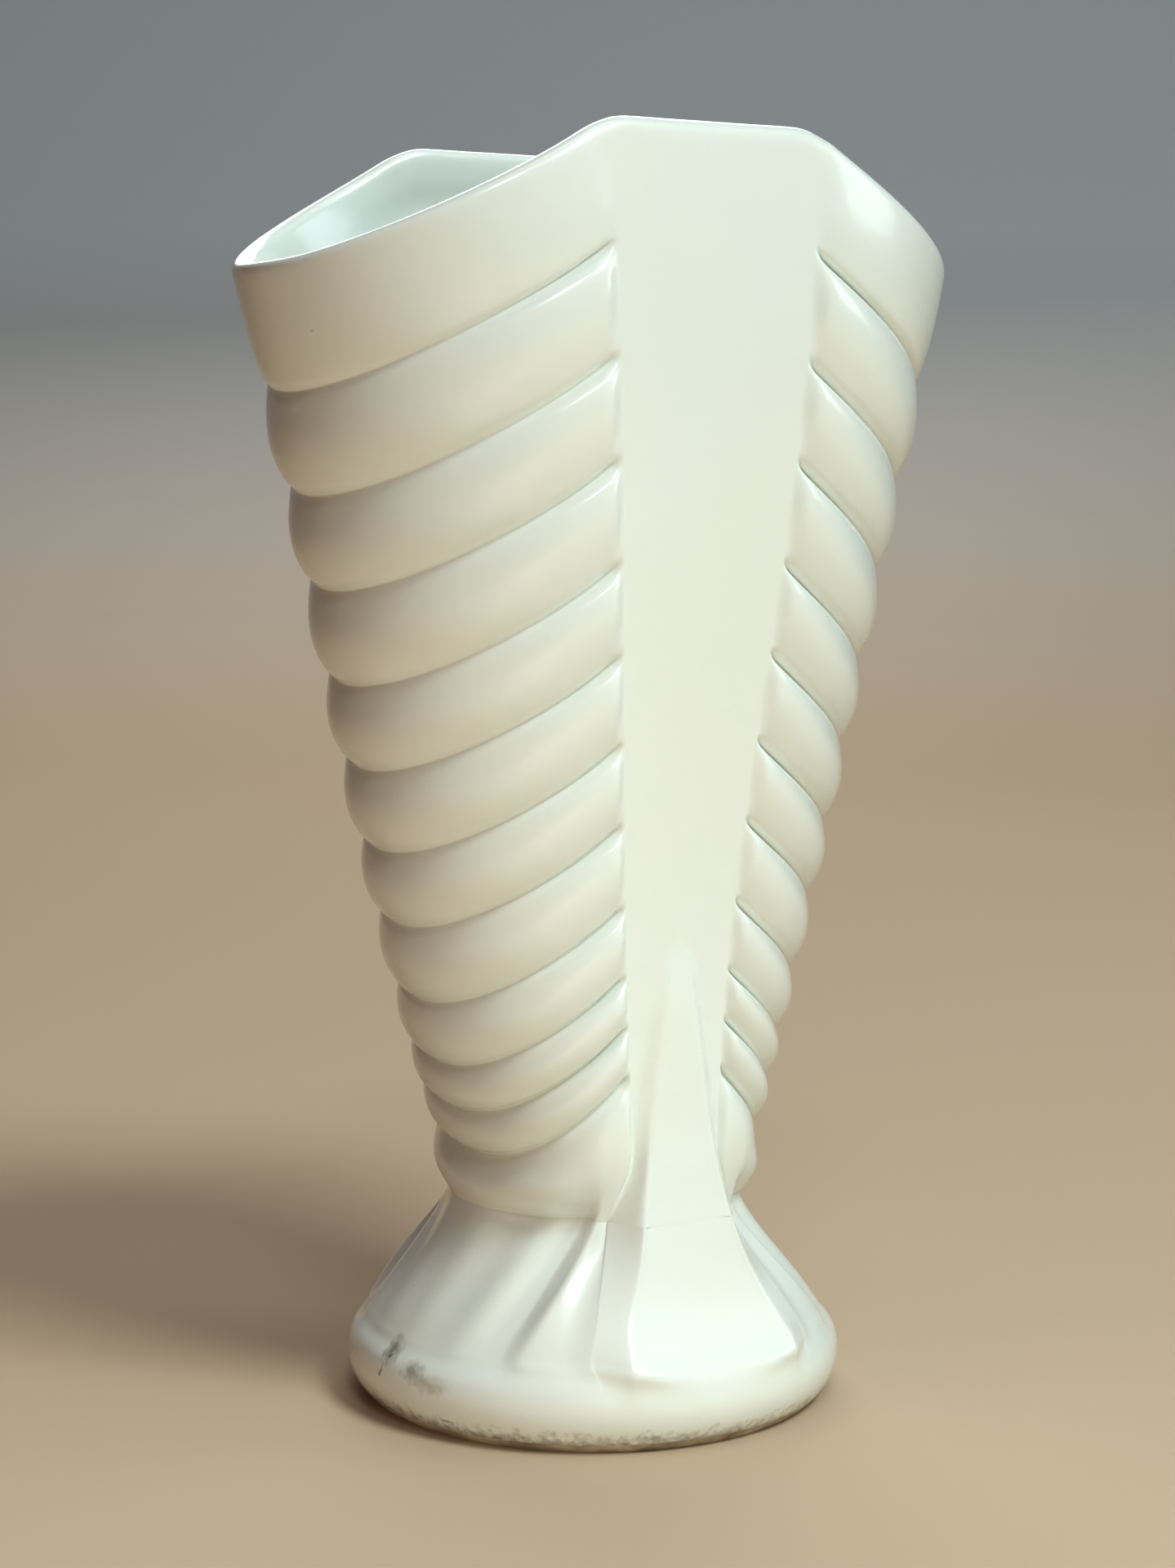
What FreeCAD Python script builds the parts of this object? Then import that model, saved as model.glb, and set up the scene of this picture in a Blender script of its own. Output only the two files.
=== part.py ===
import FreeCAD, Part
import math
import os

os.makedirs("parts", exist_ok=True)
doc = FreeCAD.newDocument("fan_vase")
Vector = FreeCAD.Vector

# Driving dimensions, in mm
sizes = {
    "rim_height": 203.0,            # rim over the flat panels
    "rim_scoop": 21.8,              # drop of the rim to the two lobe ends
    "rim_corner_length": 3.6,       # rounding of the rim to each side of a panel edge
    "joint_height": 33.0,           # plane where bowl and foot meet
    "waist_rise": 9.0,              # from the joint to the lowest section
    "waist_half_length": 22.6,      # from the middle out to a lobe end
    "middle_half_length": 37.6,
    "upper_half_length": 50.5,
    "rim_half_length": 69.0,
    "waist_half_depth": 24.2,       # from the middle out to a panel
    "middle_half_depth": 25.2,
    "upper_half_depth": 31.6,
    "rim_half_depth": 32.6,
    "waist_panel_half_width": 7.8,
    "middle_panel_half_width": 10.4,
    "upper_panel_half_width": 15.2,
    "rim_panel_half_width": 18.5,
    "panel_rise": 1.1,              # panel stands proud of the groove floors
    "rib_rise": 2.1,                # rib crest over the groove floors
    "band_panel_height": 18.2,      # plain band under the rim, at a panel
    "band_end_height": 18.8,        # and at a lobe end
    "bulb_panel_height": 23.8,      # joint to the last groove, at a panel
    "bulb_end_height": 8.8,         # and at a lobe end
    "wall_thickness": 4.0,
    "bowl_floor_thickness": 6.0,
    "glaze_thickness": 0.4,
    "slip_thickness": 0.8,
    "slip_radius": 18.0,
    "spike_length": 43.0,           # from the joint up to its tip on the panel
    "spike_rise": 1.8,
    "spike_flare": 1.9,             # further out at the joint
    "spike_joint_half_width": 8.5,
    "spike_side_width": 3.0,        # its sloping sides
    "skirt_joint_radius": 23.9,
    "pilaster_bottom_half_width": 15.3,
    "pilaster_side_width": 3.4,     # its sloping sides, at the disc
    "pilaster_stand": 0.5,          # its face stands off the top of the disc
    "pilaster_set_in": 0.8,         # its corners sit inside the disc edge
    "flute_depth": 1.5,
    "disc_radius": 40.5,
    "disc_top_height": 14.0,
    "bare_height": 1.6,             # clay left without glaze at the ground
    "foot_ring_width": 5.5,
    "recess_depth": 3.5,
}

# Shares, powers and counts, without a unit
section_height_shares = (0.0, 0.28, 0.64, 1.0)      # waist, middle, upper, rim
groove_place_shares = (0.0, 0.131, 0.251, 0.373, 0.483, 0.59, 0.689, 0.791, 0.877, 0.94, 1.0)
rib_count = len(groove_place_shares) - 1
groove_fall_shares = (0.854, 0.002)                 # power and soft start along a lobe
rim_fall_shares = (0.74, 0.09)                      # power and lead along a lobe
rim_round_shares = (-1.0, -0.5, 0.0, 0.5, 1.0)      # the rim is a mean over these
groove_cut_share = 0.2
rib_skew_shares = (0.66, 1.4, 0.4)                  # beside a panel, further out, width between
rib_round_share = 0.7
band_shares = (0.43, 0.6, 0.55)                     # at the rim, growth, roundness
edge_width_share = 0.02                             # step from panel to ribs
near_swell_shares = (0.25, 0.3)                     # ribs stand higher towards a panel
groove_cut_near_share = 0.25                        # grooves are deeper there
valley_shares = (0.25, 0.03)                        # depth and width of the line beside a panel
rib_row_shares = (0.0, 0.06, 0.14, 0.25, 0.38, 0.52, 0.66, 0.78, 0.88, 0.95)
band_row_shares = (0.0, 0.1, 0.22, 0.35, 0.48, 0.61, 0.73, 0.84, 0.92, 0.97)
bulb_row_shares = (0.0, 0.06, 0.15, 0.28, 0.42, 0.56, 0.68, 0.78, 0.86, 0.92, 0.96, 1.0)
bulb_end_share = 0.92
neck_powers = (1.6, 5)                              # drawn in beside a panel, and at a lobe end
neck_width_share = 0.3
inner_row_shares = (
    0.012, 0.026, 0.04, 0.056, 0.08, 0.12, 0.18, 0.27, 0.38, 0.5, 0.62, 0.74, 0.84, 0.92, 0.97, 1.0, 1.0, 1.0,
)
inner_reach_shares = (1, 1, 1, 1, 1, 1, 1, 1, 1, 1, 1, 1, 0.99, 0.97, 0.94, 0.86, 0.75, 0.7)
inner_settle_share = 0.08
inner_panel_shares = (0.034, 0.14)                  # the inside follows the panel, from below the lip
lip_step_count = 6
panel_column_shares = (0.0, 0.3, 0.6, 0.82, 1.0)
panel_edge_shares = (0.0, 0.2, 0.5, 0.8, 0.94, 1.0)
lobe_column_shares = (
    0.014, 0.03, 0.05, 0.075, 0.105, 0.145, 0.195, 0.26, 0.335, 0.42, 0.51, 0.61, 0.71, 0.81, 0.91, 1.0,
)
spike_width_shares = (1.0, 0.69, 0.43, 0.17)        # at the heights of the next line
spike_height_shares = (0.0, 0.3, 0.64, 1.0)
spike_fade_share = 0.2
spike_side_fall_share = 0.5                         # its sides narrow towards the tip
spike_flare_share = 0.35
spike_room_share = 0.92
waist_widen_share = 0.45
foot_level_shares = (0.0, 0.474, 0.789, 1.0)        # joint to the top of the disc
skirt_profile_shares = (0.0, 0.4, 0.77, 1.0)
pilaster_width_shares = (0.0, 0.41, 0.78, 1.0)
pilaster_depth_shares = (0.0, 0.28, 0.624, 1.0)
foot_row_shares = (                                 # joint 0, top of the disc 1, ground 2
    0.0, 0.06, 0.14, 0.24, 0.35, 0.46, 0.57, 0.67, 0.76, 0.84, 0.91, 0.96, 1.0,
    1.05, 1.1, 1.15, 1.2, 1.27, 1.36, 1.46, 1.57, 1.7, 1.82, 1.92, 2.0,
)
foot_column_count = 26
pilaster_column_shares = (0.0, 0.3, 0.6, 0.82, 0.94, 1.0)
toe_share = 0.18                                    # the pilaster sinks into the bead over this
fillet_shares = (0.45, 0.07)                        # hollow between the pilaster's side and the skirt
bead_valley_shares = (0.5, 0.12, 0.08)              # depth, place and width of the line over the bead
bead_valley_fade_share = 0.7                        # shallower beside the pilaster
flute_turn_shares = (0.0, 0.17, 0.4, 0.485, 0.55, 0.68, 0.8, 0.92, 1.0)
flute_level_shares = (1.15, 0.85, 1.25, -0.65, -0.75, 0.25, -0.25, 0.1, -0.05)
flute_swell_shares = (0.7, 0.35, 0.45)              # at the joint, at the disc, growth between
flute_settle_share = 0.12                           # flutes die out on the bead over this
flute_fan_shares = (0.35, 0.43)
bead_bulge_share = 0.53
sew_share = 0.003

# Sheet with the driving dimensions
sheet = doc.addObject("Spreadsheet::Sheet", "Sizes")
for row, (name, value) in enumerate(sizes.items(), start=1):
    sheet.set("A%d" % row, name)
    sheet.set("B%d" % row, str(value))
    sheet.setAlias("B%d" % row, name)
doc.recompute()


def size(name):
    return float(getattr(sheet, name))


def through(height, heights, values):
    # polynomial that passes through each value at its height
    total = 0
    for i, value in enumerate(values):
        term = value
        for j, other in enumerate(heights):
            if j != i:
                term *= (height - other) / (heights[i] - other)
        total += term
    return total


def section(height):
    # half length, half depth and panel half width of the bowl
    waist = size("joint_height") + size("waist_rise")
    heights = [waist + (size("rim_height") - waist) * share for share in section_height_shares]
    held = max(height, waist)
    found = []
    for kind in ("half_length", "half_depth", "panel_half_width"):
        values = [size(level + "_" + kind) for level in ("waist", "middle", "upper", "rim")]
        found.append(through(held, heights, values))
    below_share = (held - height) / size("waist_rise")
    found[2] *= 1 + waist_widen_share * below_share
    return found


def fall(turn, fall_shares):
    # 0 at a panel edge, 1 at the lobe end, with a soft start
    power_share, soft_share = fall_shares
    along = math.sin(turn * math.pi / 2)
    return along ** power_share * along / (along + soft_share) * (1 + soft_share)


def rim_drop(beyond):
    # drop of the rim at a length beyond the panel edge, rounded over the corner
    power_share, lead_share = rim_fall_shares
    lead = lead_share ** power_share
    total = 0
    for share in rim_round_shares:
        length = (beyond + size("rim_corner_length") * share) / lobe_reach()
        along = min(max(length, 0), 1)
        total += ((along + lead_share) ** power_share - lead) / ((1 + lead_share) ** power_share - lead)
    return size("rim_scoop") * total / len(rim_round_shares)


def lobe_reach():
    # length of a lobe at the rim
    return size("rim_half_length") - size("rim_panel_half_width")


def groove_level(index, turn):
    down_share = groove_place_shares[index]
    joint = size("joint_height")
    panel_top = size("rim_height") - size("band_panel_height")
    end_top = size("rim_height") - size("rim_scoop") - size("band_end_height")
    panel = panel_top + (joint + size("bulb_panel_height") - panel_top) * down_share
    end = end_top + (joint + size("bulb_end_height") - end_top) * down_share
    return panel + (end - panel) * fall(turn, groove_fall_shares)


def fade(turn, width_share):
    return math.exp(-(turn / width_share) ** 2)


def relief(turn, crest_share):
    # level panel, a fine valley beside it, then the ribs at full height
    edge_share = fade(turn, edge_width_share)
    rib_share = 1 - valley_shares[0] * fade(turn, valley_shares[1])
    rib_share += near_swell_shares[0] * fade(turn, near_swell_shares[1])
    rib = size("rib_rise") * rib_share * crest_share
    return size("panel_rise") * edge_share + rib * (1 - edge_share)


def rib_crest(down_share, turn):
    # 0 at the groove above, 1 at the groove below, fuller in the lower half out on the lobe
    if down_share <= 0 or down_share >= 1:
        return -groove_cut_share - groove_cut_near_share * fade(turn, near_swell_shares[1])
    near_share, far_share, width_share = rib_skew_shares
    skew_share = far_share + (near_share - far_share) * fade(turn, width_share)
    return math.sin(math.pi * down_share ** skew_share) ** rib_round_share


def band_crest(down_share):
    # plain band, 0 at the rim and 1 at the groove
    rim_share, growth_share, round_share = band_shares
    return (rim_share + growth_share * down_share) * math.cos(down_share * math.pi / 2) ** round_share


def bowl_rows(turn, inset, beyond):
    # offset, height, reach share, neck share and side of each row: outside up, lip, inside down
    rows = []
    joint = size("joint_height") + size("slip_thickness") / 2
    last = groove_level(rib_count, turn)
    neck_power = neck_powers[1] + (neck_powers[0] - neck_powers[1]) * fade(turn, neck_width_share)
    for share in reversed(bulb_row_shares):
        offset = relief(turn, rib_crest(share * bulb_end_share, turn)) - inset
        rows.append((offset, last + (joint - last) * share, 1, share ** neck_power, 1))
    for index in range(rib_count - 1, -1, -1):
        top = groove_level(index, turn)
        bottom = groove_level(index + 1, turn)
        for share in reversed(rib_row_shares):
            offset = relief(turn, rib_crest(share, turn)) - inset
            rows.append((offset, top + (bottom - top) * share, 1, 0, 1))
    radius = size("wall_thickness") / 2 - inset
    crown = size("rim_height") - rim_drop(beyond) - size("wall_thickness") / 2
    first = groove_level(0, turn)
    for share in reversed(band_row_shares):
        offset = relief(turn, band_crest(share)) - inset
        rows.append((offset, crown + (first - crown) * share, 1, 0, 1))
    middle = relief(turn, band_crest(0)) - size("wall_thickness") / 2
    reach = radius / math.cos(math.pi / lip_step_count / 2)
    for step in range(1, lip_step_count):
        angle = math.pi * step / lip_step_count
        rows.append((middle + reach * math.cos(angle), crown + reach * math.sin(angle), 1, 0, 0))
    floor = size("joint_height") + size("bowl_floor_thickness") - inset
    wall = size("wall_thickness") - inset
    for share, reach_share in zip(inner_row_shares, inner_reach_shares):
        settle = math.exp(-share / inner_settle_share)
        step_share, width_share = inner_panel_shares
        follow = size("panel_rise") * fade(turn, width_share) * (1 - math.exp(-(share / step_share) ** 4))
        offset = (middle - radius) * settle - wall * (1 - settle) + follow
        rows.append((offset, crown + (floor - crown) * share, reach_share, 0, 0))
    return rows


def spike_width(height):
    share = (height - size("joint_height")) / size("spike_length")
    if share >= 1:
        return size("spike_joint_half_width") * spike_width_shares[-1]
    return size("spike_joint_half_width") * through(share, spike_height_shares, spike_width_shares)


def spike_spread(height):
    # out to the foot of its sloping side
    up_share = min((height - size("joint_height")) / size("spike_length"), 1)
    side = size("spike_side_width") * (1 - spike_side_fall_share * up_share)
    return min(spike_width(height) + side, section(height)[2] * spike_room_share)


def spike_out(height):
    # how far the spike stands off the panel
    up_share = (height - size("joint_height")) / size("spike_length")
    if up_share >= 1:
        return 0
    rise = size("spike_rise") * (1 - math.exp((up_share - 1) / spike_fade_share))
    low_share = max(0, 1 - up_share / spike_flare_share)
    return rise + size("spike_flare") * low_share ** 2


def foot_share(height):
    # 0 at the joint, 1 at the top of the disc
    return (size("joint_height") - height) / (size("joint_height") - size("disc_top_height"))


def foot_height(share):
    # the other way round, and down to the ground at 2
    if share > 1:
        return size("disc_top_height") * (2 - share)
    return size("joint_height") - (size("joint_height") - size("disc_top_height")) * share


def foot_blend(start, stop, share, profile_shares):
    # held below the top of the disc
    held_share = min(share, 1)
    return start + (stop - start) * through(held_share, foot_level_shares, profile_shares)


def bead_radius(share):
    # round bead of the disc, an arc through its top, its widest place and the ground
    half = size("disc_top_height") / 2
    bulge = bead_bulge_share * half
    arc = (bulge ** 2 + half ** 2) / (2 * bulge)
    return size("disc_radius") - arc + math.sqrt(arc ** 2 - (foot_height(max(share, 1)) - half) ** 2)


def settled(share, width_share):
    # 1 down to the top of the disc, then soon 0
    return fade(max(share - 1, 0), width_share)


def pilaster(share):
    # half width, depth and greatest radius of the pilaster, whose toe sinks into the bead
    joint_depth = size("waist_half_depth") + size("panel_rise") + spike_out(size("joint_height"))
    stand = size("pilaster_stand") * settled(share, toe_share)
    width = foot_blend(
        size("spike_joint_half_width"), size("pilaster_bottom_half_width"), share, pilaster_width_shares)
    depth = foot_blend(joint_depth, bead_radius(share) + stand, share, pilaster_depth_shares)
    set_out = size("disc_radius") - size("pilaster_set_in") - bead_radius(1)
    return width, depth, bead_radius(share) + set_out * settled(share, toe_share)


def pilaster_point(across_share, share, inset):
    width, depth, reach = pilaster(share)
    across = (width - inset) * across_share
    if math.hypot(across, depth) > reach:
        depth = math.sqrt(reach ** 2 - across ** 2)
    return Vector(across, inset - depth, foot_height(share))


def skirt_side(share):
    # where the sloping side of the pilaster meets the skirt, out from the middle
    joint_side = spike_spread(size("joint_height")) - size("spike_joint_half_width")
    side = joint_side + (size("pilaster_side_width") - joint_side) * min(max(share, 0), 1)
    return pilaster(share)[0] + side


def skirt_start(share):
    # plain radius of the skirt and the angle where it leaves the pilaster
    plain = foot_blend(size("skirt_joint_radius"), bead_radius(share), share, skirt_profile_shares)
    return plain, math.asin(skirt_side(share) / plain)


def flute_fan(share):
    # flutes start close beside the pilaster and fan out towards the disc
    return flute_fan_shares[0] + flute_fan_shares[1] * min(max(share, 0), 1)


def flute_level(turn):
    # valleys and ridges between the pilaster and the lobe end
    index = 0
    while index < len(flute_turn_shares) - 2 and turn > flute_turn_shares[index + 1]:
        index += 1
    start, stop = flute_turn_shares[index:index + 2]
    first, second = flute_level_shares[index:index + 2]
    step = (1 - math.cos(math.pi * (turn - start) / (stop - start))) / 2
    return first + (second - first) * step


def skirt_radius(angle, share):
    plain, start = skirt_start(share)
    along = max(0, (angle - start) / (math.pi / 2 - start))
    held_share = min(max(share, 0), 1)
    joint_share, disc_share, growth_share = flute_swell_shares
    swell = joint_share + (disc_share - joint_share) * held_share
    swell += growth_share * math.sin(math.pi * held_share)
    level = swell * flute_level(along ** flute_fan(share)) + fillet_shares[0] * fade(along, fillet_shares[1])
    level *= settled(share, flute_settle_share)
    depth_share, place_share, width_share = bead_valley_shares
    valley = depth_share * fade(share - 1 - place_share, width_share)
    valley *= 1 - bead_valley_fade_share * fade(along, flute_turn_shares[2])
    return plain + size("flute_depth") * (level - valley)


def necked(point, angle, inset, neck_share):
    # draws the bulb in to the top of the skirt
    radius = skirt_radius(angle, foot_share(size("joint_height") + size("slip_thickness") / 2)) - inset
    goal = Vector(radius * math.sin(angle), -radius * math.cos(angle), point.z)
    return point + (goal - point) * neck_share


def panel_point(column, row, inset):
    # column counts from the middle of the panel over the spike to the panel edge
    offset, height, reach_share, neck_share, outside = row
    length, depth, width = section(height)
    spread = spike_spread(height)
    on_spike = column < len(panel_column_shares)
    if on_spike:
        across = (min(spike_width(height), spread) - inset * outside) * panel_column_shares[column]
    else:
        across_share = panel_edge_shares[column - len(panel_column_shares)]
        start = spread - inset * outside
        across = start + (width - start) * across_share
    rise = spike_out(height) * outside if on_spike else 0
    point = Vector(across * reach_share, -(depth + offset + rise) * reach_share, height)
    if on_spike or not neck_share:
        return point
    return necked(point, math.asin(across / size("skirt_joint_radius")), inset, neck_share)


def lobe_point(turn, row, inset):
    offset, height, reach_share, neck_share, outside = row
    length, depth, width = section(height)
    angle = turn * math.pi / 2
    normal = Vector(math.sin(angle) * depth, -math.cos(angle) * (length - width), 0)
    normal.normalize()
    point = Vector(width + (length - width) * math.sin(angle), -depth * math.cos(angle), 0)
    point = (point + normal * offset) * reach_share + Vector(0, 0, height)
    if not neck_share:
        return point
    edge = math.atan2(width, depth)
    edge_goal = math.asin(width / size("skirt_joint_radius"))
    beyond = (math.atan2(point.x, -point.y) - edge) / (math.pi / 2 - edge)
    return necked(point, edge_goal + (math.pi / 2 - edge_goal) * max(0, beyond), inset, neck_share)


def bowl_quarter(inset):
    # columns of points from the middle of the front panel to the lobe end
    quarter = []
    for column in range(len(panel_column_shares) + len(panel_edge_shares)):
        edge_share = ([0] * len(panel_column_shares) + list(panel_edge_shares))[column]
        rows = bowl_rows(0, inset, (edge_share - 1) * size("rim_panel_half_width"))
        quarter.append([panel_point(column, row, inset) for row in rows])
    for turn in lobe_column_shares:
        rows = bowl_rows(turn, inset, lobe_reach() * math.sin(turn * math.pi / 2))
        quarter.append([lobe_point(turn, row, inset) for row in rows])
    return sided(quarter, len(panel_column_shares))


def sided(quarter, corner):
    # one more column, midway up the sloping side of the spike or the pilaster
    between = [(top + low) / 2 for top, low in zip(quarter[corner - 1], quarter[corner])]
    return quarter[:corner] + [between] + quarter[corner:]


def foot_quarter(top, inset):
    # columns from the middle of the front pilaster to the lobe side of the foot, down to the ground
    top_share = foot_share(top)
    low_share = foot_row_shares[-1]
    shares = [top_share + (low_share - top_share) * share / low_share for share in foot_row_shares]
    columns = len(pilaster_column_shares) + foot_column_count
    quarter = [[] for column in range(columns)]
    for share in shares:
        row = [pilaster_point(across_share, share, inset) for across_share in pilaster_column_shares]
        start = math.asin((skirt_side(share) - inset) / skirt_start(share)[0])
        for index in range(foot_column_count):
            turn_share = index / (foot_column_count - 1)
            angle = start + (math.pi / 2 - start) * turn_share ** (1 / flute_fan(share))
            radius = skirt_radius(angle, share) - inset
            row.append(Vector(radius * math.sin(angle), -radius * math.cos(angle), foot_height(share)))
        for column, point in zip(quarter, row):
            column.append(point)
    return sided(quarter, len(pilaster_column_shares))


def full_ring(quarter):
    # four mirrored quarters as one closed round of columns
    back = [[Vector(p.x, -p.y, p.z) for p in column] for column in reversed(quarter[:-1])]
    half = quarter + back
    other = [[Vector(-p.x, p.y, p.z) for p in column] for column in reversed(half[1:-1])]
    return half + other


def drawn_out(columns):
    # poles moved out so that the smooth skin runs through the points around it
    moved = []
    for before, column, after in zip(columns[-1:] + columns[:-1], columns, columns[1:] + columns[:1]):
        moved.append([(p * 8 - left - right) / 6 for left, p, right in zip(before, column, after)])
    return moved


def tube(columns):
    # smooth closed skin whose poles are the given columns of points
    around = len(columns)
    along = len(columns[0])
    surface = Part.BSplineSurface()
    surface.buildFromPolesMultsKnots(
        columns,
        [1] * (around + 1),
        [4] + [1] * (along - 4) + [4],
        list(range(around + 1)),
        list(range(along - 2)),
        True,
        False,
        3,
        3,
    )
    return surface.toShape()


def solid_tube(quarter):
    # the skin with a flat cap at each end
    skin = tube(drawn_out(full_ring(quarter)))
    caps = [Part.Face(Part.Wire([edge])) for edge in skin.Edges if edge.isClosed()]
    shell = Part.Compound([skin] + caps)
    shell.sewShape(size("glaze_thickness") * sew_share)
    solid = Part.Solid(shell.Shells[0])
    if solid.Volume < 0:
        solid.reverse()
    return solid


def shaped(label, shape):
    piece = doc.addObject("Part::Feature", label)
    piece.Shape = shape
    piece.Placement = FreeCAD.Placement()
    return piece


def joined(kind, label, pieces):
    piece = doc.addObject("Part::" + kind, label)
    if kind == "Cut":
        piece.Base, piece.Tool = pieces
    else:
        piece.Shapes = pieces
    return piece


def upright(label, radius, bottom, height):
    piece = doc.addObject("Part::Cylinder", label)
    piece.setExpression("Radius", radius)
    piece.setExpression("Height", height)
    if bottom:
        piece.setExpression("Placement.Base.z", bottom)
    return piece


# Clay pieces, set back under the glaze
glaze = size("glaze_thickness")
slip_top = size("joint_height") + size("slip_thickness") / 2
slip_bottom = size("joint_height") - size("slip_thickness") / 2
bowl_casting = shaped("bowl_casting", solid_tube(bowl_quarter(glaze)))
skirt_clay = shaped("skirt_clay", solid_tube(foot_quarter(slip_bottom, glaze)))
skirt_skin = shaped("skirt_skin", solid_tube(foot_quarter(slip_top, 0)))
bare_slice = upright("bare_slice", "Sizes.disc_radius", "", "Sizes.bare_height")
bare_band = joined("MultiCommon", "bare_band", [skirt_skin, bare_slice])
foot_clay = joined("MultiFuse", "foot_clay", [skirt_clay, bare_band])
recess = doc.addObject("Part::Cone", "recess")
ring_text = "Sizes.disc_radius - Sizes.disc_top_height / 2 * %s - Sizes.foot_ring_width" % bead_bulge_share
recess.setExpression("Radius1", ring_text)
recess.setExpression("Radius2", ring_text + " - 2 * Sizes.recess_depth")
recess.setExpression("Height", "Sizes.recess_depth")
foot_casting = joined("Cut", "foot_casting", [foot_clay, recess])
slip_level = "Sizes.joint_height - Sizes.slip_thickness / 2"
luting_slip = upright("luting_slip", "Sizes.slip_radius", slip_level, "Sizes.slip_thickness")

# Glaze coat over the clay
bowl_skin = shaped("bowl_skin", solid_tube(bowl_quarter(0)))
bowl_glaze = joined("Cut", "bowl_glaze", [bowl_skin, bowl_casting])
foot_core = joined("MultiFuse", "foot_core", [foot_clay, luting_slip])
foot_glaze = joined("Cut", "foot_glaze", [skirt_skin, foot_core])
doc.recompute()

# Checks and export
for piece in doc.Objects:
    if "Invalid" in piece.State or "Error" in piece.State:
        raise ValueError("%s has state %s" % (piece.Label, piece.State))
    if piece.isDerivedFrom("Part::Feature") and (piece.Shape.isNull() or not piece.Shape.isValid()):
        raise ValueError(piece.Label + " has a faulty shape")
for piece in (bowl_casting, foot_casting, luting_slip, bowl_glaze, foot_glaze):
    piece.Shape.exportStep("parts/%s.step" % piece.Label)
    print(piece.Label, len(piece.Shape.Solids), round(piece.Shape.Volume), piece.Shape.BoundBox)
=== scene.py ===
import math
import bpy
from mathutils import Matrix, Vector

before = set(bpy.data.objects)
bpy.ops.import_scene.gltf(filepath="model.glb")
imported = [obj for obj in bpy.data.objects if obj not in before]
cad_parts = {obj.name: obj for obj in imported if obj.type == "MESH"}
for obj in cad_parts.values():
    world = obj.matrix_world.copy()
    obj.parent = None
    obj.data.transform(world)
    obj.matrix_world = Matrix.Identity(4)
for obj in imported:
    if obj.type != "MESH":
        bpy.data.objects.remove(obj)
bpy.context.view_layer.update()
bpy.ops.object.select_all(action="DESELECT")
print("frame loaded")


def hexColour(code):
    # sRGB hex to linear, as the shader sockets want it
    channels = [int(code[i:i + 2], 16) / 255 for i in (1, 3, 5)]
    return [c / 12.92 if c <= 0.04045 else ((c + 0.055) / 1.055) ** 2.4 for c in channels] + [1]


def addNode(tree, kind, settings=None, inputs=None, links=None):
    # one node with its settings, plain values and incoming links
    node = tree.nodes.new(kind)
    for name, value in (settings or {}).items():
        setattr(node, name, value)
    for name, value in (inputs or {}).items():
        node.inputs[name].default_value = value
    for name, source in (links or {}).items():
        tree.links.new(source, node.inputs[name])
    return node


def newMaterial(name):
    material = bpy.data.materials.new(name)
    material.use_nodes = True
    material.node_tree.nodes.clear()
    return material, material.node_tree


def rampOf(tree, value, start, stop):
    # two stops, each a place and a hex colour or a grey value
    node = addNode(tree, "ShaderNodeValToRGB", links={"Fac": value})
    for element, (place, colour) in zip(node.color_ramp.elements, (start, stop)):
        element.position = place
        if isinstance(colour, str):
            element.color = hexColour(colour)
        else:
            element.color = (colour, colour, colour, 1)
    return node.outputs["Color"]


def mixColour(tree, factor, under, over):
    # the hex colour over, laid on under by the factor
    node = addNode(tree, "ShaderNodeMix", {"data_type": "RGBA"}, links={
        "Factor": factor, "A": under})
    node.inputs["B"].default_value = hexColour(over)
    return node.outputs["Result"]


def noiseOf(tree, coords, grain):
    # grain is the size of a grain in metres, then the detail and the roughness
    size, detail, roughness = grain
    return addNode(tree, "ShaderNodeTexNoise", inputs={
        "Scale": 1 / size, "Detail": detail, "Roughness": roughness},
        links={"Vector": coords}).outputs["Fac"]


def multiplyAdd(tree, value, factor, added):
    node = addNode(tree, "ShaderNodeMath", {"operation": "MULTIPLY_ADD"}, {1: factor}, {
        0: value, 2: added})
    return node.outputs["Value"]


glazeLook = {
    "body": "#E7EFE9",          # cool off-white where the coat is full
    "warm": "#EAEDE2",          # creamier cloud where it ran thicker
    "hollowShadeColour": "#D9DFD3",        # painted shade: greyer in the grooves and hollows, as if in shadow
    "hollowShadeStops": ((0.40, 0.8), (0.48, 0.0)),      # the painted shade, by how hollow the surface is
    "thin": "#E9E3D3",          # buff clay that shows through on sharp edges
    "thinStops": ((0.56, 0.0), (0.68, 0.55)),       # by how sharp the edge is
    "clouds": (0.030, 1.0, 0.55),                   # 30 mm clouds of tone
    "ripple": (0.006, 2.0, 0.55),                   # 6 mm orange peel of the sprayed coat
    "rippleDepth": 0.00006,
    "rippleStrength": 0.5,
    "ragged": (0.0014, 4.0, 0.55),                  # 1.4 mm raggedness of the marks
    "speck": "#8B877E",         # iron specks in the body
    "speckSpacing": 0.014,
    "speckStops": ((0.012, 0.75), (0.024, 0.0)),    # in shares of their spacing
    "grime": "#8C8176",         # dirt rubbed into the lower edge
    "grimeGrain": (0.0016, 5.0, 0.55),
    "grimeHeight": 0.0060,      # mottled, and gone by about 6 mm over the ground
    "grimeLift": (0.4, -0.45),  # added to its noise at the ground and at that height
    "grimeStops": ((0.38, 0.0), (0.8, 0.85)),
    "roughness": (0.22, 0.28),  # satin, a little duller in the creamier clouds
    "ior": 1.5,
    "coatWeight": 0.5,
    "coatRoughness": 0.14,
    "depthWeight": 0.12,        # light that goes a little way into the milky coat
    "depthScale": 0.002,
    "depthColours": (1.0, 0.8, 0.6),
}

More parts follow.
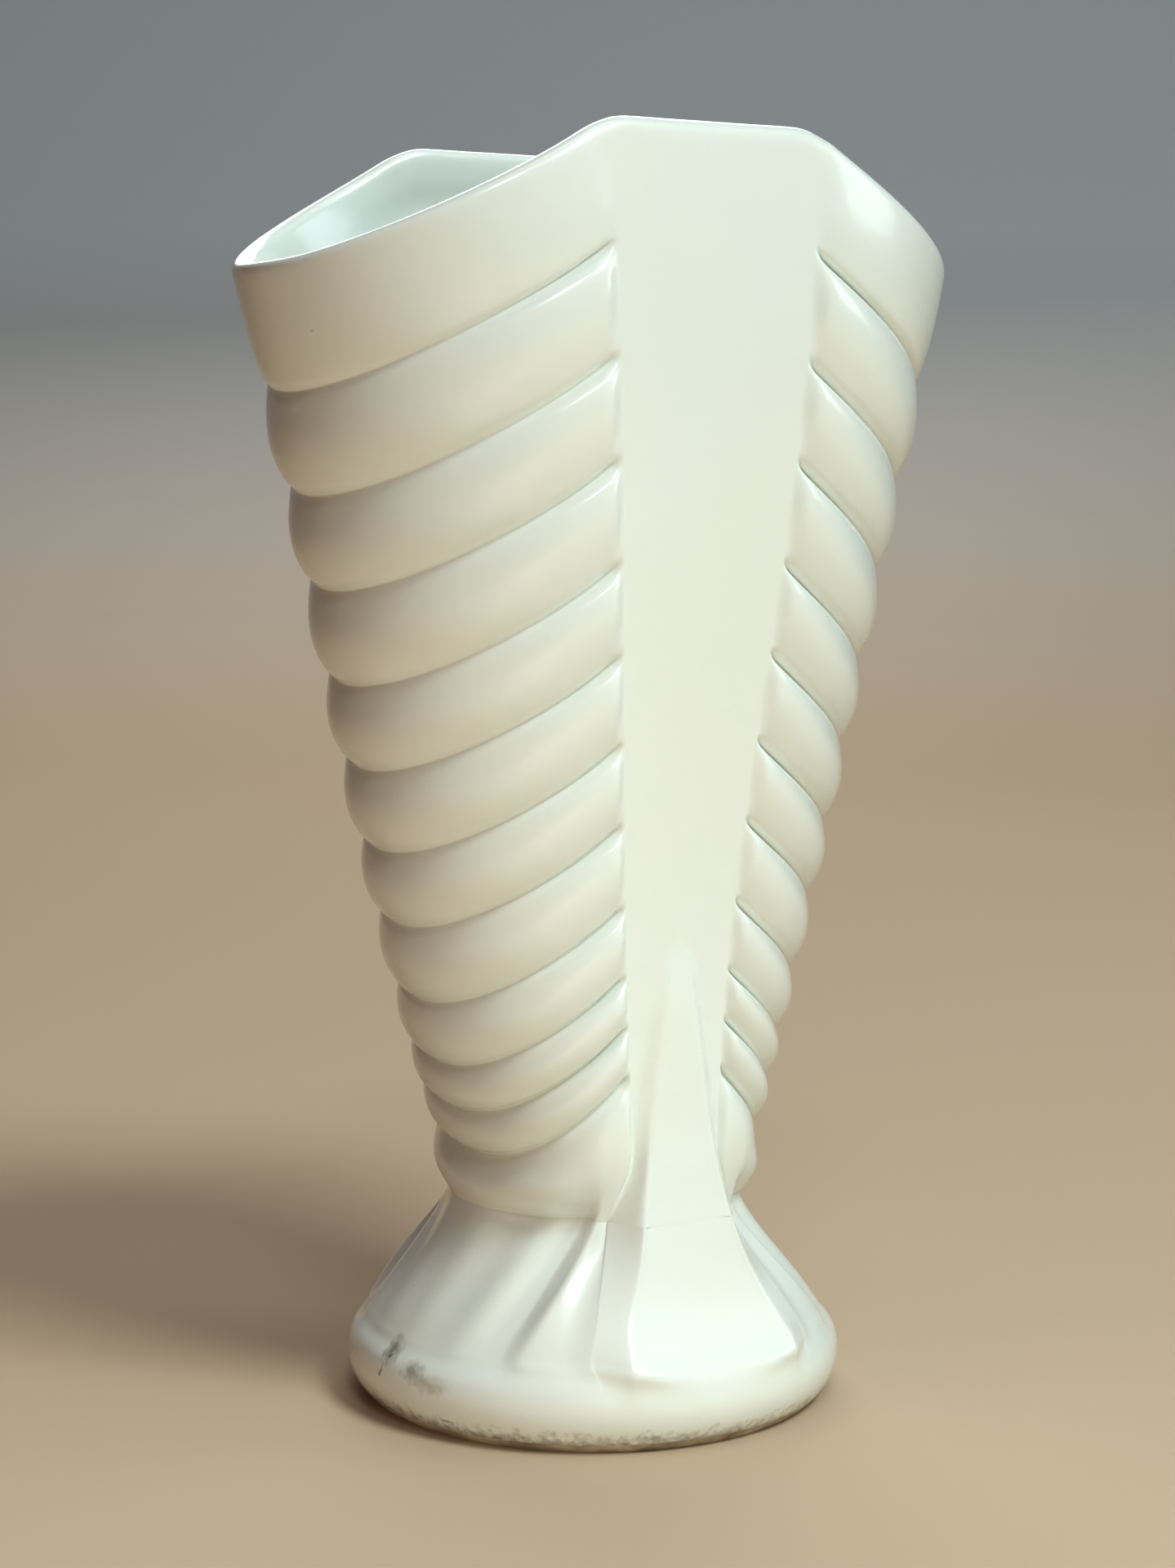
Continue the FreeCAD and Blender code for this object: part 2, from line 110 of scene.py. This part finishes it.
# Marks of age on the foot: place and radii in mm
glazeMarks = {
    "stainByCrack": {
        "place": (-38.9, -2.6, 11.7), "radii": (6.0, 4.4, 5.0),
        "colour": "#77715F", "strength": 0.75},
    "stainLower": {
        "place": (-38.6, -9.6, 9.9), "radii": (6.0, 5.0, 3.6),
        "colour": "#827B6A", "strength": 0.6},
    "stainFaint": {
        "place": (-38.0, -14.0, 8.6), "radii": (6.0, 7.0, 3.0),
        "colour": "#A39A86", "strength": 0.5},
    "chip": {
        "place": (-36.6, -16.0, 3.4), "radii": (3.0, 2.2, 0.7),
        "colour": "#3F3226", "strength": 0.9},
    "footSpeck": {
        "place": (-17.8, -35.5, 9.7), "radii": (0.9, 0.4, 0.4),
        "colour": "#7F867F", "strength": 0.8},
    "edgeSpeck": {
        "place": (-3.2, -38.4, 3.2), "radii": (0.5, 0.9, 0.4),
        "colour": "#6F6A60", "strength": 0.8},
}
markEdge = {"raggedness": 0.8, "full": 0.5, "gone": 1.0}     # in shares of the radii

glazeCrack = {
    "start": (-39.0, -3.2, 11.2),       # in mm, as its half width is
    "stop": (-40.4, -1.4, 7.6),
    "halfWidth": 0.22,
    "colour": "#6A5D4B",
    "strength": 0.85,
    "raggedness": 0.5,
    "span": 4,                          # half widths that one step of its edge covers
    "full": 0.42,
    "gone": 0.6,
}


def markMask(tree, coords, ragged, mark):
    # soft ragged spot about a place: its strength inside and 0 outside
    moved = addNode(tree, "ShaderNodeVectorMath", {"operation": "SUBTRACT"}, {
        1: [value / 1000 for value in mark["place"]]}, {0: coords})
    scaled = addNode(tree, "ShaderNodeVectorMath", {"operation": "MULTIPLY"}, {
        1: [1000 / radius for radius in mark["radii"]]}, {0: moved.outputs["Vector"]})
    reach = addNode(tree, "ShaderNodeVectorMath", {"operation": "LENGTH"}, links={
        0: scaled.outputs["Vector"]}).outputs["Value"]
    edge = multiplyAdd(tree, ragged, markEdge["raggedness"], reach)
    return rampOf(tree, edge, (markEdge["full"], mark["strength"]), (markEdge["gone"], 0.0))


def crackMask(tree, coords, ragged, crack):
    # thin wandering line between two places
    start = Vector(crack["start"]) / 1000
    along = Vector(crack["stop"]) / 1000 - start
    moved = addNode(tree, "ShaderNodeVectorMath", {"operation": "SUBTRACT"}, {
        1: start}, {0: coords}).outputs["Vector"]
    share = addNode(tree, "ShaderNodeVectorMath", {"operation": "DOT_PRODUCT"}, {
        1: along / along.length_squared}, {0: moved})
    held = addNode(tree, "ShaderNodeClamp", links={"Value": share.outputs["Value"]})
    nearest = addNode(tree, "ShaderNodeVectorMath", {"operation": "SCALE"}, {
        0: along}, {"Scale": held.outputs["Result"]})
    apart = addNode(tree, "ShaderNodeVectorMath", {"operation": "DISTANCE"}, links={
        0: moved, 1: nearest.outputs["Vector"]})
    inWidths = addNode(tree, "ShaderNodeMath", {"operation": "MULTIPLY"}, {
        1: 1000 / crack["halfWidth"] / crack["span"]}, {0: apart.outputs["Value"]})
    edge = multiplyAdd(tree, ragged, crack["raggedness"], inWidths.outputs["Value"])
    return rampOf(tree, edge, (crack["full"], crack["strength"]), (crack["gone"], 0.0))


def tinGlaze():
    # opaque satin tin glaze on earthenware, sprayed and fired: milky, softly glossy,
    # thin on sharp edges, worn and dirty at the foot
    material, tree = newMaterial("satinTinGlaze")
    coords = addNode(tree, "ShaderNodeTexCoord").outputs["Object"]
    clouds = noiseOf(tree, coords, glazeLook["clouds"])
    body = addNode(tree, "ShaderNodeRGB")
    body.outputs["Color"].default_value = hexColour(glazeLook["body"])
    colour = mixColour(tree, clouds, body.outputs["Color"], glazeLook["warm"])
    bend = addNode(tree, "ShaderNodeNewGeometry").outputs["Pointiness"]
    # painted shade: the grooves and hollows are greyed as if shadowed
    hollowShade = rampOf(tree, bend, *glazeLook["hollowShadeStops"])
    colour = mixColour(tree, hollowShade, colour, glazeLook["hollowShadeColour"])
    sharp = rampOf(tree, bend, *glazeLook["thinStops"])
    colour = mixColour(tree, sharp, colour, glazeLook["thin"])
    dots = addNode(tree, "ShaderNodeTexVoronoi", inputs={
        "Scale": 1 / glazeLook["speckSpacing"]}, links={"Vector": coords}).outputs["Distance"]
    specks = rampOf(tree, dots, *glazeLook["speckStops"])
    colour = mixColour(tree, specks, colour, glazeLook["speck"])
    ragged = noiseOf(tree, coords, glazeLook["ragged"])
    for mark in glazeMarks.values():
        colour = mixColour(tree, markMask(tree, coords, ragged, mark), colour, mark["colour"])
    crack = crackMask(tree, coords, ragged, glazeCrack)
    colour = mixColour(tree, crack, colour, glazeCrack["colour"])
    height = addNode(tree, "ShaderNodeSeparateXYZ", links={"Vector": coords}).outputs["Z"]
    atGround, above = glazeLook["grimeLift"]
    low = addNode(tree, "ShaderNodeMapRange", inputs={
        "From Max": glazeLook["grimeHeight"], "To Min": atGround, "To Max": above},
        links={"Value": height})
    worn = addNode(tree, "ShaderNodeMath", {"operation": "ADD"}, links={
        0: noiseOf(tree, coords, glazeLook["grimeGrain"]), 1: low.outputs["Result"]})
    wear = rampOf(tree, worn.outputs["Value"], *glazeLook["grimeStops"])
    colour = mixColour(tree, wear, colour, glazeLook["grime"])
    bump = addNode(tree, "ShaderNodeBump", inputs={
        "Strength": glazeLook["rippleStrength"], "Distance": glazeLook["rippleDepth"]},
        links={"Height": noiseOf(tree, coords, glazeLook["ripple"])})
    glossy, dull = glazeLook["roughness"]
    sheen = addNode(tree, "ShaderNodeMapRange", inputs={
        "To Min": glossy, "To Max": dull}, links={"Value": clouds})
    shader = addNode(tree, "ShaderNodeBsdfPrincipled", inputs={
        "IOR": glazeLook["ior"],
        "Coat Weight": glazeLook["coatWeight"], "Coat Roughness": glazeLook["coatRoughness"],
        "Subsurface Weight": glazeLook["depthWeight"],
        "Subsurface Scale": glazeLook["depthScale"],
        "Subsurface Radius": glazeLook["depthColours"]}, links={
        "Base Color": colour, "Roughness": sheen.outputs["Result"],
        "Normal": bump.outputs["Normal"]})
    addNode(tree, "ShaderNodeOutputMaterial", links={"Surface": shader.outputs["BSDF"]})
    return material


clayLook = {
    "pale": "#C9BDA8",
    "dark": "#8A7B67",
    "toneStops": (0.35, 0.6),           # where the dark ends and the pale begins
    "blotch": (0.008, 5.0, 0.6),        # 8 mm blotches of damp and dust
    "grain": (0.0009, 3.0, 0.5),        # grog and turning marks, drawn at 0.9 mm to show
    "grainDepth": 0.0002,
    "grainStrength": 0.6,
    "roughness": 0.85,
}


def bareEarthenware():
    # unglazed fired earthenware, wiped with a wet sponge before firing: dry, grainy,
    # greyed by handling
    material, tree = newMaterial("bareEarthenware")
    coords = addNode(tree, "ShaderNodeTexCoord").outputs["Object"]
    darkEnd, paleStart = clayLook["toneStops"]
    tone = rampOf(tree, noiseOf(tree, coords, clayLook["blotch"]),
                  (darkEnd, clayLook["dark"]), (paleStart, clayLook["pale"]))
    bump = addNode(tree, "ShaderNodeBump", inputs={
        "Strength": clayLook["grainStrength"], "Distance": clayLook["grainDepth"]},
        links={"Height": noiseOf(tree, coords, clayLook["grain"])})
    shader = addNode(tree, "ShaderNodeBsdfPrincipled", inputs={
        "Roughness": clayLook["roughness"]}, links={
        "Base Color": tone, "Normal": bump.outputs["Normal"]})
    addNode(tree, "ShaderNodeOutputMaterial", links={"Surface": shader.outputs["BSDF"]})
    return material


glazeMaterial = tinGlaze()
clayMaterial = bareEarthenware()
for nodeName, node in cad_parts.items():
    node.data.materials.clear()
    node.data.materials.append(glazeMaterial if "glaze" in nodeName else clayMaterial)
print("materials set")

photoView = {
    "turn": 30.9,               # degrees from square on to the front panel
    "distance": 0.5007,
    "height": 0.1550,
    "aside": -0.00166,
    "pitch": 6.30,              # degrees below level
    "roll": -0.32,
    "sensorHeight": 36,         # mm
    "focalPixels": 3793,
    "framePixels": 1920,
    "nearest": 0.01,
}
studio = {
    "floorColour": "#C6B299",
    "wallColour": "#E9ECEF",
    "fadeHeight": 0.3,          # the floor's tone has turned to the wall's here
    "paperRoughness": 0.9,
    "paperGloss": 0.2,
    "paperSize": 4.0,
    "wallHeight": 2.6,
    "bendSize": 1.1,
    "bendSteps": 24,
    "airColour": "#E6E9E8",
    "airGlow": 0.05,            # faint light from all round
    "airSeen": 0.4,             # paler where it is seen past the paper
    "lampAim": (0, 0, 0.1),     # the middle of the vase
    "gamma": 0.82,
}


def selectVertices(item, wanted):
    # marks vertices and their edges for the next edit step
    bpy.ops.object.mode_set(mode="OBJECT")
    chosen = {v.index for v in item.data.vertices if wanted(v.co)}
    for vertex in item.data.vertices:
        vertex.select = vertex.index in chosen
    for edge in item.data.edges:
        edge.select = set(edge.vertices) <= chosen
    for face in item.data.polygons:
        face.select = False
    bpy.ops.object.mode_set(mode="EDIT")
    bpy.ops.mesh.select_mode(type="EDGE")


def paperSweep():
    # matt paper that lies flat under the vase and curves up behind it, square to the camera
    material, tree = newMaterial("mattPaper")
    coords = addNode(tree, "ShaderNodeTexCoord").outputs["Object"]
    height = addNode(tree, "ShaderNodeSeparateXYZ", links={"Vector": coords}).outputs["Z"]
    colour = rampOf(tree, height, (0.0, studio["floorColour"]),
                    (studio["fadeHeight"], studio["wallColour"]))
    shader = addNode(tree, "ShaderNodeBsdfPrincipled", inputs={
        "Roughness": studio["paperRoughness"], "Specular IOR Level": studio["paperGloss"]},
        links={"Base Color": colour})
    addNode(tree, "ShaderNodeOutputMaterial", links={"Surface": shader.outputs["BSDF"]})
    bpy.ops.mesh.primitive_plane_add(size=studio["paperSize"], location=(0, 0, 0))
    paper = bpy.context.object
    paper.name = "paperSweep"
    selectVertices(paper, lambda place: place.y > 0)
    bpy.ops.mesh.extrude_region_move(
        TRANSFORM_OT_translate={"value": (0, 0, studio["wallHeight"])})
    selectVertices(paper, lambda place: place.y > 0 and place.z == 0)
    bpy.ops.mesh.bevel(offset=studio["bendSize"], segments=studio["bendSteps"])
    bpy.ops.object.mode_set(mode="OBJECT")
    bpy.ops.object.shade_smooth()
    paper.rotation_euler.z = -math.radians(photoView["turn"])
    paper.data.materials.append(material)


paperSweep()

# Mirrored says whether the glaze reflects the lamp itself as well as its light
lights = {
    "keyWindow": {
        "place": (0.28, -0.97, 1.36), "size": 0.5,
        "power": 20.6, "colour": "#EAF7FA", "mirrored": True},
    "leftWindow": {
        "place": (-0.42, -0.9, 1.25), "size": 0.24,
        "power": 2.6, "colour": "#F0FAFF", "mirrored": True},
    "sideWindow": {
        "place": (1.2, -0.7, 0.6), "size": 0.6,
        "power": 3.0, "colour": "#ECF8FF", "mirrored": True},
    "ceiling": {
        "place": (0.05, -0.10, 1.5), "size": 0.7,
        "power": 2.6, "colour": "#FFFFFF", "mirrored": True},
    "warmBounce": {
        "place": (-0.95, -0.1, 0.38), "size": 0.7,
        "power": 0.7, "colour": "#FF7C30", "mirrored": False},
    "footCard": {
        "place": (-0.10, -0.24, 0.03), "size": 0.14,
        "power": 0.31, "colour": "#FFFAF0", "mirrored": False},
    "backRim": {
        "place": (0.5, 1.0, 0.9), "size": 0.9,
        "power": 6.0, "colour": "#FFFFFF", "mirrored": True},
}

for lightName, look in lights.items():
    lamp = bpy.data.lights.new(lightName, "AREA")
    lamp.size = look["size"]
    lamp.energy = look["power"]
    lamp.color = hexColour(look["colour"])[:3]
    lampObject = bpy.data.objects.new(lightName, lamp)
    lampObject.location = look["place"]
    lampObject.visible_glossy = look["mirrored"]
    towards = Vector(studio["lampAim"]) - lampObject.location
    lampObject.rotation_euler = towards.to_track_quat("-Z", "Y").to_euler()
    bpy.context.scene.collection.objects.link(lampObject)
world = bpy.data.worlds.new("studioAir")
bpy.context.scene.world = world
world.use_nodes = True
air = world.node_tree
air.nodes["Background"].inputs["Color"].default_value = hexColour(studio["airColour"])
seen = addNode(air, "ShaderNodeLightPath").outputs["Is Camera Ray"]
glow = addNode(air, "ShaderNodeMath", {"operation": "MULTIPLY_ADD"}, {
    1: studio["airSeen"], 2: studio["airGlow"]}, {0: seen})
air.links.new(glow.outputs["Value"], air.nodes["Background"].inputs["Strength"])
bpy.context.scene.view_settings.view_transform = "Standard"
bpy.context.scene.view_settings.gamma = studio["gamma"]
print("light and floor set")


def placeCamera():
    # the lens and place of the photograph's own view
    camera = bpy.data.cameras.new("photoCamera")
    camera.sensor_fit = "VERTICAL"
    camera.sensor_height = photoView["sensorHeight"]
    camera.lens = camera.sensor_height * photoView["focalPixels"] / photoView["framePixels"]
    camera.clip_start = photoView["nearest"]
    cameraObject = bpy.data.objects.new("photoCamera", camera)
    turn = math.radians(photoView["turn"])
    aside, away = photoView["aside"], photoView["distance"]
    cameraObject.location = (
        aside * math.cos(turn) - away * math.sin(turn),
        -aside * math.sin(turn) - away * math.cos(turn),
        photoView["height"])
    cameraObject.rotation_euler = (
        math.radians(90 - photoView["pitch"]), math.radians(photoView["roll"]), -turn)
    bpy.context.scene.collection.objects.link(cameraObject)
    bpy.context.scene.camera = cameraObject


placeCamera()
print("camera set")
